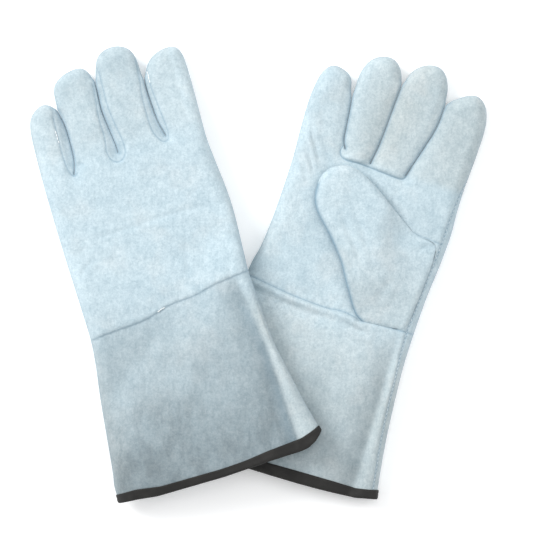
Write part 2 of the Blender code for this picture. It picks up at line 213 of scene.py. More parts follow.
# Pale threads that stand out of the left glove's seams, with the body each one is on
LEFT_THREADS = {
    "cuff_thread": (((-12.5, 135.2), (-9.5, 136.2), (-6, 137.2)), "left_hand"),
    "little_thread": (((-51.3, 289), (-51.5, 294), (-51.4, 300)), "left_little"),
    "index_thread": (((33.3, 316), (33.5, 321), (33.7, 326)), "left_index"),
}

# Outline of the thumb on the palm: its free edge from heel round the tip, then its sewn edge
THUMB_FREE = ((31, 137.6), (25.5, 140.6), (20, 147), (15, 154.6), (10, 162), (5, 170), (0, 178),
              (-10, 190), (-20, 200.3), (-29, 209), (-34, 216), (-36.6, 223), (-37.4, 232),
              (-36.4, 240), (-33, 246.5), (-27.5, 251), (-20, 253.9), (-12, 254), (-2, 250.6),
              (10, 244.2), (20, 237.6), (30, 231), (40, 224.6), (48, 219.6))
THUMB_SEWN = ((48, 219.6), (56, 217.4), (63, 216.9), (68.4, 215.4), (71, 210.6), (71.8, 200),
              (71.2, 186), (70.2, 168), (68.8, 152), (67.2, 144.4), (62.6, 140.6), (54, 139.4),
              (42, 138.4), (31, 137.6))
THUMB_LEFT_EDGE, THUMB_TOP_EDGE = THUMB_FREE[:13], THUMB_FREE[12:]
THUMB_JOIN, THUMB_SIDE, THUMB_FOOT = THUMB_SEWN[:4], THUMB_SEWN[4:9], THUMB_SEWN[10:]


# ---- places and curves

def smoothstep(low, high, value):
    t = np.clip((np.asarray(value, float) - low) / (high - low), 0.0, 1.0)
    return t * t * (3.0 - 2.0 * t)


def bump(value, centre, width):
    return np.exp(-((np.asarray(value, float) - centre) / width) ** 2)


def dome(share):
    """Height of a quarter circle, 0 at the edge and 1 where the share reaches 1."""
    return np.sqrt(1.0 - (1.0 - np.clip(share, 0.0, 1.0)) ** 2)


def beside_fold(flat, fold):
    """How far right of a fold each place lies; the fold is given as points (level, x)."""
    levels, places = zip(*fold)
    return flat[:, 0] - np.interp(flat[:, 1], levels, places)


def spline(points, step):
    """A Catmull-Rom curve through the points, resampled about every step millimetres."""
    pts = np.array(points, float)
    ends = np.vstack([2 * pts[0] - pts[1], pts, 2 * pts[-1] - pts[-2]])
    t = np.linspace(0, 1, 12, endpoint=False)[:, None]
    fine = []
    for p0, p1, p2, p3 in zip(ends, ends[1:], ends[2:], ends[3:]):
        fine.append(0.5 * (2 * p1 + (p2 - p0) * t + (2 * p0 - 5 * p1 + 4 * p2 - p3) * t ** 2
                           + (3 * p1 - p0 - 3 * p2 + p3) * t ** 3))
    fine = np.vstack(fine + [pts[-1:]])
    length = np.concatenate([[0], np.cumsum(np.linalg.norm(np.diff(fine, axis=0), axis=1))])
    count = max(int(round(length[-1] / step)), 2)
    at = np.linspace(0, length[-1], count + 1)
    return np.stack([np.interp(at, length, fine[:, k]) for k in (0, 1)], axis=1)


def line_distance(points, line):
    """Distance from each point to a polyline, and which side of it the point lies on."""
    best = np.full(len(points), 1e9)
    side = np.zeros(len(points))
    a, b = line[:-1], line[1:]
    edge = b - a
    long2 = np.maximum((edge ** 2).sum(1), 1e-9)
    for start in range(0, len(points), 4000):
        p = points[start:start + 4000, None, :]
        t = np.clip(((p - a) * edge).sum(2) / long2, 0, 1)
        gap = p - (a + edge * t[..., None])
        dist = np.sqrt((gap ** 2).sum(2))
        k = dist.argmin(1)
        row = np.arange(len(k))
        best[start:start + 4000] = dist[row, k]
        cross = edge[k, 0] * gap[row, k, 1] - edge[k, 1] * gap[row, k, 0]
        side[start:start + 4000] = np.sign(cross)
    return best, side


def distance(points, line):
    return line_distance(points, line)[0]


def close_gaps(runs):
    """Bring the facing edges of neighbouring fingers together, and return where they touch."""
    touching = []
    for run, other_run in zip(runs, runs[1:]):
        down, up = run[run[:, 1].argmax():], other_run[:other_run[:, 1].argmax() + 1]
        moved = []
        for own, other in ((down, up), (up, down)):
            gaps = np.linalg.norm(own[:, None] - other[None], axis=2)
            nearest, gap = other[gaps.argmin(axis=1)], gaps.min(axis=1)
            share = 0.5 * np.maximum(1.0 - FINGER_GAP / np.maximum(gap, 1e-6), 0.0)
            share *= 1.0 - smoothstep(1.7, 3.4, gap)
            moved.append(own + (nearest - own) * share[:, None])
        down[:], up[:] = moved
        touching.append(up[gap < 2.4])
    return touching


def joint(name):
    return next(j for j in frame["joints"] if j["name"] == name)


def pair_lift(x, y):
    """Height of the left glove's underside, as the CAD drapes it."""
    on_thumb = LOW_LIFT + (LEFT_HAND_LIFT - LOW_LIFT) * smoothstep(50.0, 150.0, y)
    ax, ay = x - RIGHT_CORNER[0], y - RIGHT_CORNER[1]
    side = np.minimum(ax * RIGHT_SIDE_NORMAL[0] + ay * RIGHT_SIDE_NORMAL[1], 0.0)
    hem = np.minimum(ax * RIGHT_HEM_NORMAL[0] + ay * RIGHT_HEM_NORMAL[1], 0.0)
    reach = smoothstep(0.0, DRAPE_REACH, np.hypot(side, hem))
    on_cuff = OVER_CUFF_LIFT - (OVER_CUFF_LIFT - LOW_LIFT) * reach
    return (on_thumb ** 6 + on_cuff ** 6) ** (1.0 / 6.0)


class Glove:
    """One glove's flat frame, its outline and its seams."""

    def __init__(self, name):
        self.name = name
        self.palm_up = name == "right"
        hinge = joint(f"{name}_index_bend")
        axis = Vector(hinge["axis"]) * (1.0 if self.palm_up else -1.0)
        self.lean = math.atan2(axis.y, axis.x)
        c, s = math.cos(self.lean), math.sin(self.lean)
        self.turn = np.array([[c, -s], [s, c]])
        flat = np.array([INDEX_MIDDLE[name], KNUCKLE_Y])
        self.place = np.array(hinge["pos_m"][:2]) / MM - self.turn @ flat
        shape = OUTLINE[name]
        left = shape["side_up"] + shape["little"][1:]
        right = shape["index"] + shape["side_down"][1:]
        self.runs = [spline(run, EDGE_STEP)
                     for run in (left, shape["ring"], shape["middle"], right)]
        self.crevices = close_gaps(self.runs)
        self.hem = spline(shape["hem"], EDGE_STEP)
        self.runs[0][0] = self.hem[-1]
        self.runs[-1][-1] = self.hem[0]
        self.seams = {}
        for seam, (points, depth, roll) in SEAMS[name].items():
            self.seams[seam] = (spline(points, 1.3), depth, roll)
        self.tips = FINGER_TIPS[name]
        self.roots = FINGER_ROOTS[name]

    def by_crevice(self, flat, width):
        """1 in the crevices between touching fingers, falling to 0 over a width."""
        gap = np.min([distance(flat, line) for line in self.crevices], axis=0)
        return bump(gap, 0.0, width)

    def edge_distance(self, flat):
        gaps = [distance(flat, run) for run in self.runs]
        return np.min(gaps, axis=0)

    def finger_of(self, x, y):
        """Number of the finger a place belongs to, counted by the right edges it is beyond."""
        number = np.zeros(len(x), int)
        for run in self.runs[:-1]:
            down = run[run[:, 1].argmax():][::-1]
            number += x > np.interp(y, down[:, 1], down[:, 0]) + 0.25
        return number

    def side_edges(self, y):
        """x of the left and the right side of the cuff at a level, also a little below the hem."""
        left = np.array(OUTLINE[self.name]["side_up"][:4], float)
        right = np.array(OUTLINE[self.name]["side_down"][-4:], float)[::-1]
        found = []
        for edge in (left, right):
            slope = (edge[1] - edge[0])[0] / (edge[1] - edge[0])[1]
            below = edge[0, 0] + slope * (y - edge[0, 1])
            found.append(np.where(y < edge[0, 1], below, np.interp(y, edge[:, 1], edge[:, 0])))
        return found

    def lift(self, x, y):
        if self.palm_up:
            return np.zeros_like(x)
        tip = np.array(self.tips)[self.finger_of(x, y)]
        share = smoothstep(0.0, 1.0, (y - KNUCKLE_Y) / (tip - 8.0 - KNUCKLE_Y))
        drop = LEFT_HAND_LIFT + HAND_THICK - FINGER_THICK
        on_hand = pair_lift(x, np.minimum(y, KNUCKLE_Y))
        return on_hand - drop * share

    def world(self, flat, w):
        """Places in the world, in metres, of points of the flat frame."""
        x, y = flat[:, 0], flat[:, 1]
        z = w if self.palm_up else self.lift(x, y) + HAND_THICK - w
        ground = flat @ self.turn.T + self.place
        return np.column_stack([ground, z]) * MM

    def world_thumb(self, flat, w):
        """Places of the thumb, which lies level beside or under the hand."""
        ground = flat @ self.turn.T + self.place
        z = w if self.palm_up else LEFT_HAND_LIFT + HAND_THICK - w
        return np.column_stack([ground, z]) * MM

    def upper_face(self, flat):
        """Places on the face of the glove that lies uppermost."""
        back, palm = glove_faces(self, flat, self.edge_distance(flat))
        return self.world(flat, palm if self.palm_up else back)

    def world_point(self, x, y, w):
        return Vector(self.world(np.array([[x, y]], float), np.array([float(w)]))[0])


# ---- the leather's shape

def soft_noise(flat, size, seed):
    """Smooth noise over the flat frame, about -1 to 1, with features of the given size."""
    offset = Vector((seed * 17.3, seed * 5.1, seed * 3.7))
    return np.array([noise.noise(Vector((x / size, y / size, 0.0)) + offset) for x, y in flat])


def outer_faces(y):
    """Levels of the back's and the palm's faces along the glove, without any relief."""
    marks = (-8, 35, 105, 139, 165, 230, 258)
    back = np.interp(y, marks, (1.2, 0.0, 0.0, 0.9, 0.0, 0.0, 0.0))
    palm = np.interp(y, marks, (18.0, 19.0, 19.0, 17.4, 18.0, 18.0, 17.0))
    return back, palm


def seam_relief(glove, flat):
    """Grooves of the seams and the rolls beside them, in millimetres."""
    relief = np.zeros(len(flat))
    for line, depth, roll in glove.seams.values():
        gap, side = line_distance(flat, line)
        near = gap < 22.0
        fade = bump(gap, 0.0, 1.15)
        relief -= depth * fade
        rise = roll * np.exp(-gap / 7.0) * (1.0 - np.exp(-gap / 1.1))
        relief += np.where(near & (side * np.sign(roll) > 0), np.abs(rise), 0.0)
    return relief


def beyond(glove, flat, seam):
    """Signed distance to a seam's line: positive on its left, walking along its points."""
    gap, side = line_distance(flat, glove.seams[seam][0])
    return gap * side


def inside_fourchettes(glove, flat):
    """How deep a place lies between the seams of a fourchette, in millimetres."""
    deep = np.zeros(len(flat))
    for seam in glove.seams:
        if "fourchette" in seam:
            gap = beyond(glove, flat, seam)
            between = (gap > 0) & (gap < 9.0) & (flat[:, 1] > KNUCKLE_Y)
            deep = np.maximum(deep, np.where(between, gap, 0))
    return deep


def pucker(glove, flat, seam, pitch, height, seed):
    """Small gathers square to a seam, dying out away from it."""
    line, _depth, _roll = glove.seams[seam]
    gap = distance(flat, line)
    wave = np.sin(flat[:, 0] / pitch * 2 * math.pi + 3.0 * soft_noise(flat, 14.0, seed))
    return height * wave * np.exp(-gap / 5.0) * (1.0 - bump(gap, 0.0, 1.0))


def crease(flat, points, depth, width, roll=0.4):
    """One crease in the leather: a thin valley with a soft roll on both sides."""
    line = spline(points, 2.0)
    gap = distance(flat, line)
    along = np.hypot(*(line[-1] - line[0]))
    ends = np.minimum(np.hypot(*(flat - line[0]).T), np.hypot(*(flat - line[-1]).T))
    fade = smoothstep(0.0, along * 0.3, ends)
    return fade * (depth * roll * bump(gap, width * 2.2, width * 1.6) - depth * bump(gap, 0, width))


def cuff_valley(flat, centre_line, depth, left_width, right_width, low, high):
    """A long soft fold down the cuff, gentler on its left than on its right."""
    x = beside_fold(flat, centre_line)
    width = np.where(x < 0, left_width, right_width)
    reach = smoothstep(low[0], low[1], flat[:, 1]) * (1 - smoothstep(high[0], high[1], flat[:, 1]))
    return -depth * np.exp(-(x / width) ** 2) * reach


def left_back_relief(glove, flat, d):
    x, y = flat.T
    relief = 1.0 * (1.0 - np.exp(-np.maximum(d - 3.0, 0.0) / 14.0))
    relief += 0.9 * soft_noise(flat, 46.0, 1) + 0.28 * soft_noise(flat, 15.0, 2)
    relief += seam_relief(glove, flat)
    relief += pucker(glove, flat, "cuff_seam", 9.0, 0.35, 3)
    relief -= 1.3 * smoothstep(0.0, 5.0, inside_fourchettes(glove, flat))
    below = -beyond(glove, flat, "cuff_seam")
    relief -= 0.9 * smoothstep(0.0, 1.2, below) * np.exp(-np.maximum(below, 0.0) / 16.0)
    for start, end in (((43, 4), (40, 48)), ((54, 6), (52, 40)), ((-38, 12), (-40, 44))):
        relief += crease(flat, (start, ((start[0] + end[0]) / 2 + 1.0, (start[1] + end[1]) / 2), end),
                         -0.5, 1.1, roll=0.5)
    relief += cuff_valley(flat, LEFT_VALLEY, 6.6, 17.0, 5.0, (-40, -5), (118, 150))
    relief += cuff_valley(flat, ((-10, -20), (40, -34), (100, -46)), 2.2, 16.0, 22.0,
                          (-40, 10), (70, 120))
    relief += cuff_valley(flat, ((-10, 22), (60, 16), (110, 12)), 1.2, 12.0, 10.0,
                          (-30, 10), (60, 110))
    for points, depth, width in (
            (((-70, 207), (-30, 206), (10, 208), (50, 207), (69, 204)), 0.5, 2.2),
            (((-70, 199), (-40, 201), (-5, 200)), 0.3, 1.8),
            (((15, 152), (22, 166), (24, 182)), 0.5, 1.8),
            (((-66, 178), (-58, 186), (-50, 190)), 0.5, 1.5),
            (((40, 219), (46, 221), (49, 225)), 0.4, 1.2)):
        relief += crease(flat, points, depth, width)
    knuckles = bump(y, 252.0, 13.0) * (bump(x, -60, 10) + bump(x, -28, 11) + bump(x, 10, 12)
                                       + bump(x, 48, 12))
    return relief + 0.8 * knuckles


def right_palm_relief(glove, flat, d):
    x, y = flat.T
    relief = 0.9 * (1.0 - np.exp(-np.maximum(d - 3.0, 0.0) / 14.0))
    relief += 0.8 * soft_noise(flat, 44.0, 5) + 0.26 * soft_noise(flat, 14.0, 6)
    relief += seam_relief(glove, flat)
    relief += pucker(glove, flat, "cuff_seam", 8.0, 0.3, 7)
    relief += pucker(glove, flat, "side_seam", 7.0, 0.2, 8)
    relief += cuff_valley(flat, RIGHT_VALLEY, 3.8, 13.0, 4.0, (-30, 4), (104, 136))
    relief += cuff_valley(flat, ((0, 8), (60, 18), (120, 26)), 1.4, 14.0, 12.0,
                          (-30, 10), (80, 128))
    below = -beyond(glove, flat, "cuff_seam")
    relief += 1.9 * bump(below, 3.6, 2.4) * (1 - smoothstep(22, 40, x))
    relief -= 2.3 * bump(below, 9.5, 3.6) * (1 - smoothstep(-24, 16, x))
    above = beyond(glove, flat, "cross_seam")
    relief += 1.0 * bump(above, 4.0, 3.2)
    relief -= 0.8 * bump(above, -3.5, 2.6) * bump(x, 0.0, 26.0)
    fold = beside_fold(flat, ((0, 66), (60, 66), (120, 64)))
    relief -= 1.1 * bump(fold, 0.0, 4.0) * (1 - smoothstep(100, 130, y))
    relief += crease(flat, ((18, 131.5), (28, 129.4), (38, 128.6)), 1.9, 1.9)
    for points, depth in ((((-58, 282), (-53, 268), (-45, 256), (-41, 246)), 1.1),
                          (((-60, 268), (-54, 256), (-47, 247), (-43, 238)), 1.2),
                          (((-59, 252), (-53, 243), (-46, 233)), 0.9)):
        relief += crease(flat, points, depth, 1.5, roll=0.7)
    for points, depth, width in (
            (((-56, 276), (-46, 281), (-36, 279)), 0.4, 1.6),
            (((22, 248), (32, 243), (44, 241)), 0.5, 1.8),
            (((56, 204), (62, 211), (70, 214)), 0.6, 1.6)):
        relief += crease(flat, points, depth, width)
    return relief


def hidden_relief(flat, d, seed):
    inner = smoothstep(3.0, 16.0, d)
    return inner * (-0.5 + 0.4 * soft_noise(flat, 30.0, seed))


def glove_faces(glove, flat, d):
    """Levels w of the back's and the palm's leather over the flat frame."""
    back, palm = outer_faces(flat[:, 1])
    middle, half = (back + palm) / 2.0, (palm - back) / 2.0
    swell = dome(d / SIDE_ROUND)
    shift = CREVICE_LIFT * half * glove.by_crevice(flat, 7.0)
    if glove.palm_up:
        up = right_palm_relief(glove, flat, d) * swell
        return (middle + shift - (half + shift) * swell,
                middle + shift + (half - shift) * swell + up)
    up = left_back_relief(glove, flat, d) * swell
    down = np.minimum(hidden_relief(flat, d, 12), 0.0)
    return (middle - shift - (half - shift) * swell - up,
            middle - shift + (half + shift) * swell + down)


# ---- flat meshes

def inside_outline(points, loop):
    x, y = points.T
    inside = np.zeros(len(points), bool)
    for (ax, ay), (bx, by) in zip(loop, np.roll(loop, -1, axis=0)):
        if ay == by:
            continue
        crosses = (ay > y) != (by > y)
        inside ^= crosses & (x < ax + (y - ay) * (bx - ax) / (by - ay))
    return inside


def beside(line, offset, closed=False):
    """The points of a line moved square to it, to its left for a positive offset."""
    if closed:
        along = np.roll(line, -1, axis=0) - np.roll(line, 1, axis=0)
    else:
        along = np.gradient(line, axis=0)
    along /= np.maximum(np.linalg.norm(along, axis=1), 1e-9)[:, None]
    return line + offset * np.column_stack([-along[:, 1], along[:, 0]])


def thin_out(groups):
    """Points of the groups in order, leaving out those too close to one already kept."""
    kept, cells = [], {}
    for points, gap in groups:
        for x, y in points:
            cell = (int(x // 2.0), int(y // 2.0))
            near = (p for i in (-1, 0, 1) for j in (-1, 0, 1)
                    for p in cells.get((cell[0] + i, cell[1] + j), ()))
            if all((x - p[0]) ** 2 + (y - p[1]) ** 2 >= gap * gap for p in near):
                kept.append((x, y))
                cells.setdefault(cell, []).append((x, y))
    return np.array(kept)


def flat_mesh(loop, lines, grid, rings=EDGE_RINGS):
    """Triangles over the inside of a loop, finer along its edge and along the lines."""
    closed = np.vstack([loop, loop[:1]])
    turn = 1.0 if np.sum(loop[:, 0] * np.roll(loop[:, 1], -1)
                         - np.roll(loop[:, 0], -1) * loop[:, 1]) > 0 else -1.0
    groups = []
    for offset in (0.0, 0.8, -0.8, 1.8, -1.8, 3.1, -3.1):
        for line in lines:
            row = beside(line, offset)
            row = row[inside_outline(row, loop)]
            if len(row):
                row = row[distance(row, closed) > 0.6]
                groups.append((row, 0.6))
    for offset in rings:
        row = beside(loop, turn * offset, closed=True)
        row = row[inside_outline(row, loop)]
        row = row[distance(row, closed) > 0.9 * offset]
        groups.append((row, min(0.55 + 0.2 * offset, 1.1)))
    low, high = loop.min(axis=0), loop.max(axis=0)
    rows = []
    for k, y in enumerate(np.arange(low[1], high[1], grid * math.sqrt(0.75))):
        x = np.arange(low[0] + (k % 2) * grid / 2.0, high[0], grid)
        rows.append(np.column_stack([x, np.full_like(x, y)]))
    points = np.vstack(rows)
    points = points[inside_outline(points, loop)]
    points = points[distance(points, closed) > rings[0] + 0.4 * grid]
    groups.append((points, min(0.66 * grid, 2.0)))
    inner = thin_out(groups)
    verts = [Vector(p) for p in loop] + [Vector(p) for p in inner]
    out = delaunay_2d_cdt(verts, [], [list(range(len(loop)))], 1, 1e-6)
    flat = np.array([tuple(v) for v in out[0]])
    tris = np.array([f for f in out[2] if len(f) == 3])
    a, b, c = flat[tris[:, 0]], flat[tris[:, 1]], flat[tris[:, 2]]
    area = (b[:, 0] - a[:, 0]) * (c[:, 1] - a[:, 1]) - (c[:, 0] - a[:, 0]) * (b[:, 1] - a[:, 1])
    tris[area < 0] = tris[area < 0][:, ::-1]
    return flat, tris[np.abs(area) > 1e-7]


def two_layers(tris, shared, count):
    """Faces of an upper and a lower layer that share the marked vertices."""
    lower = np.arange(count)
    spare = np.flatnonzero(~shared)
    lower[spare] = count + np.arange(len(spare))
    under = lower[tris[~shared[tris].all(axis=1)]][:, ::-1]
    return np.vstack([tris, under]), spare


# ---- pieces

def new_piece(name, verts, faces, material, facts, normals=None):
    """A mesh with its values for the materials: the rest place and any others per vertex."""
    mesh = bpy.data.meshes.new(name)
    mesh.from_pydata([tuple(v) for v in verts], [], [tuple(int(i) for i in f) for f in faces])
    mesh.validate()
    mesh.update()
    rest = mesh.attributes.new("rest_place", "FLOAT_VECTOR", "POINT")
    rest.data.foreach_set("vector", np.asarray(verts, np.float32).ravel())
    for key, values in facts.items():
        found = mesh.attributes.new(key, "FLOAT", "POINT")
        found.data.foreach_set("value", np.asarray(values, np.float32))
    mesh.polygons.foreach_set("use_smooth", [True] * len(mesh.polygons))
    if normals is not None:
        mesh.normals_split_custom_set_from_vertices([tuple(n) for n in normals])
    mesh.materials.append(material)
    obj = bpy.data.objects.new(name, mesh)
    bpy.context.scene.collection.objects.link(obj)
    return obj


def vertex_normals(verts, faces):
    a, b, c = verts[faces[:, 0]], verts[faces[:, 1]], verts[faces[:, 2]]
    square = np.cross(b - a, c - a)
    total = np.zeros_like(verts)
    for k in range(3):
        np.add.at(total, faces[:, k], square)
    return total / np.maximum(np.linalg.norm(total, axis=1), 1e-12)[:, None]


def part_of(faces, chosen):
    """The chosen faces renumbered, with the old numbers of their vertices."""
    used, numbers = np.unique(faces[chosen], return_inverse=True)
    return used, numbers.reshape(-1, 3)


def both_layers(values, spare):
    """Values of the upper layer's vertices, followed by those of the lower layer's own."""
    return np.concatenate([values, values[spare]])


def parts_of_glove(glove, flat, faces):
    """The hand, then each finger: its name, vertices and faces, and where its blend runs."""
    centre = flat[faces].mean(axis=1)
    number = glove.finger_of(*centre.T)
    on_finger = centre[:, 1] > np.array(glove.roots)[number]
    yield "hand", *part_of(faces, ~on_finger), None, None
    for k, finger in enumerate(FINGER_ORDER):
        chosen = on_finger & (number == k)
        middle, root = centre[chosen][:, 0].mean(), glove.roots[k] + BLEND_AFTER_ROOT
        start = glove.world_point(middle, root, HAND_THICK / 2.0)
        end = glove.world_point(middle, root + BLEND_LONG, HAND_THICK / 2.0)
        end.z = start.z
        yield finger, *part_of(faces, chosen), start, end


def crevice_shade(glove, flat, d):
    """How much painted shade a place gets, 0 to 1: in the crevices between fingers, along the rounded
    edges of the outline, in the seams' grooves, inside the fourchettes, along the thumb's edges on
    the palm and in the left cuff's fold.
    """
    # Painted shade deep in the crevices between touching fingers, and a thinner painted shade along
    # every edge of the outline.
    between = 0.85 * glove.by_crevice(flat, 8.0) * np.exp(-d / 1.1)
    between = np.maximum(between, 0.34 * np.exp(-d / 0.8))
    # Painted shade in the seams' grooves.
    seams = np.zeros(len(flat))
    for line, depth, _roll in glove.seams.values():
        gap = distance(flat, line)
        seams = np.maximum(seams, min(depth, 1.0) * 0.8 * bump(gap, 0.0, 0.65))
    # Painted shade inside the fourchettes.
    inside = 0.22 * smoothstep(0.0, 4.0, inside_fourchettes(glove, flat))
    if glove.palm_up:
        # Painted shadow of the thumb's free edges on the palm, strongest along its left edge.
        for edge, dark, width in ((THUMB_LEFT_EDGE, 0.40, 1.6), (THUMB_TOP_EDGE, 0.12, 1.5)):
            gap = distance(flat, spline(edge, EDGE_STEP))
            seams = np.maximum(seams, dark * bump(gap, 0.0, width))
    else:
        # Painted shade in the fold down the left cuff.
        off = beside_fold(flat, LEFT_VALLEY) + 1.5
        fold = 0.20 * np.exp(-(off / np.where(off < 0, 5.5, 2.2)) ** 2)
        seams = np.maximum(seams, fold * (1.0 - smoothstep(112.0, 146.0, flat[:, 1])))
    return np.clip(np.maximum(np.maximum(between, seams), inside), 0.0, 1.0)


def tone_and_shade(glove, flat):
    """How much darker grey the leather is painted: darker over the creased lower cuff towards the
    hem, with painted shade in the fold down each cuff and under the left hand's edge at its cuff
    seam, and less grey on the painted highlight of the strip right of the fold.
    """
    x, y = flat.T
    level = y + 16.0 * soft_noise(flat, 45.0, 21)
    off = beside_fold(flat, RIGHT_VALLEY if glove.palm_up else LEFT_VALLEY)
    # Painted shade in the fold down the cuff.
    valley = np.exp(-(off / np.where(off < 0, 12.0, 2.4)) ** 2)
    valley *= 1.0 - smoothstep(112.0, 150.0, y)
    # The strip right of the fold gets less grey: a painted highlight on its lit roll.
    strip = smoothstep(0.5, 3.5, off)
    if glove.palm_up:
        low = 0.34 * (1.0 - smoothstep(20.0, 140.0, level)) * (1.0 - 0.6 * strip)
        low += 0.07 * smoothstep(262.0, 300.0, y) + 0.05 * smoothstep(20.0, 60.0, x)
        return np.clip(low + 0.34 * valley, 0.0, 1.0)
    low = 1.12 * (1.0 - smoothstep(-30.0, 175.0, level)) + 0.22 * smoothstep(250.0, 290.0, y)
    dark = 0.25 * bump(x, -38.0, 26.0) * (1.0 - smoothstep(40.0, 120.0, level))
    # Painted shadow just below the left cuff seam, under the hand's overlapping edge.
    step = 0.22 * (1.0 - smoothstep(-1.5, 1.5, beyond(glove, flat, "cuff_seam")))
    step *= smoothstep(60.0, 130.0, y)
    return np.clip((low + dark + step) * (1.0 - 0.92 * strip) + 0.36 * valley, 0.0, 1.0)


def tanned(glove, flat):
    """Where the leather is less blue: the right glove's fingers and the cuffs' sides."""
    x, y = flat.T
    cuff = 1.0 - smoothstep(104.0, 142.0, y)
    if glove.palm_up:
        fingers = smoothstep(257.0, 266.0, y) * np.where(x < 34.0, bump(x, 6.0, 34.0), 0.7)
        return np.clip(fingers + cuff * (0.62 + 0.3 * smoothstep(60.0, 72.0, x)), 0.0, 1.0)
    strip = smoothstep(0.5, 3.5, beside_fold(flat, LEFT_VALLEY))
    side = 0.45 * (1.0 - smoothstep(-82.0, -60.0, x))
    return np.clip(cuff * (0.2 + 0.8 * strip + side) + 0.3 * smoothstep(262.0, 290.0, y), 0.0, 1.0)


def build_leather(glove, material):
    """The back and the palm of one glove, with its fingers as pieces of their own."""
    loop = np.vstack(glove.runs + [glove.hem[1:-1]])
    flat, tris = flat_mesh(loop, [line for line, _d, _r in glove.seams.values()], GRID)
    d = glove.edge_distance(flat)
    back, palm = glove_faces(glove, flat, d)
    upper, lower = (palm, back) if glove.palm_up else (back, palm)
    faces, spare = two_layers(tris, d < ON_EDGE, len(flat))
    verts = np.vstack([glove.world(flat, upper), glove.world(flat[spare], lower[spare])])
    normals = vertex_normals(verts, faces)
    # Per-vertex painted shade, and the darker grey with its painted shade and highlight, for the
    # leather's material.
    facts = {"crevice": both_layers(crevice_shade(glove, flat, d), spare),
             "tone_and_shade": both_layers(tone_and_shade(glove, flat), spare),
             "tan": both_layers(tanned(glove, flat), spare)}
    for finger, used, tri, start, end in parts_of_glove(glove, both_layers(flat, spare), faces):
        body = f"{glove.name}_{finger}"
        piece = new_piece(f"{body}_leather", verts[used], tri, material,
                          {key: values[used] for key, values in facts.items()}, normals[used])
        if finger == "hand":
            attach(piece, body)
            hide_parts(*[f"{glove.name}_{part}" for part in
                                 ("hand_back", "palm", "cuff_back", "cuff_front", "seam_welt")])
            continue
        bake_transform(piece)
        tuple(start)
        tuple(end)
        fourchettes = [n for n in frame["nodes"] if n.startswith(f"{body}_fourchette")]
        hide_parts(f"{body}_back", f"{body}_front", *fourchettes)


# ---- thumbs

THUMB_EDGE_ROUND = 8.5
LEFT_SEWN_X = 60.0
RIGHT_THUMB_THICK = 9.5
THUMB_BLEND = (-8.0, 14.0)


def thumb_fade(flat):
    """Share of the thumb's height: 1 on the thumb, 0 where it is sewn to the hand."""
    fade = np.ones(len(flat))
    for line, reach in ((THUMB_JOIN, 30.0), (THUMB_SIDE, 54.0), (THUMB_FOOT, 38.0)):
        fade *= smoothstep(0.0, reach, distance(flat, np.array(line, float)))
    return fade


def thumb_levels(glove, flat, d_free, d_sewn):
    """Underside and top of the thumb's leather, as levels w over the palm."""
    d_palm = glove.edge_distance(flat)
    _back, base = glove_faces(glove, flat, d_palm)
    swell = dome(d_free / THUMB_EDGE_ROUND)
    fade = thumb_fade(flat)
    half = (RIGHT_THUMB_THICK if glove.palm_up else THUMB_THICK) / 2.0
    relief = 0.55 * soft_noise(flat, 26.0, 31) + 0.22 * soft_noise(flat, 9.0, 32)
    relief += thumb_wrinkles(flat)
    floor = base + 0.12 + THUMB_GAP * fade + 0.45 * smoothstep(0.0, 2.5, d_sewn)
    top = floor + (half + half * swell + relief * swell) * fade
    bottom = floor + half * (1.0 - swell) * fade
    return bottom, top


def thumb_wrinkles(flat):
    relief = np.zeros(len(flat))
    for points, depth, width in (
            (((-22, 212), (-10, 199), (4, 184), (14, 170), (24, 156)), 1.15, 2.6),
            (((-20, 224), (-6, 209), (10, 190), (22, 174)), 1.0, 2.8),
            (((-6, 226), (8, 209), (22, 190), (32, 174)), 0.7, 3.0),
            (((34, 152), (40, 164), (44, 180)), 1.1, 3.0),
            (((46, 148), (51, 160), (54, 176)), 1.0, 2.6),
            (((-30, 236), (-24, 230), (-16, 228)), 0.4, 1.8)):
        relief += crease(flat, points, depth, width)
    return relief


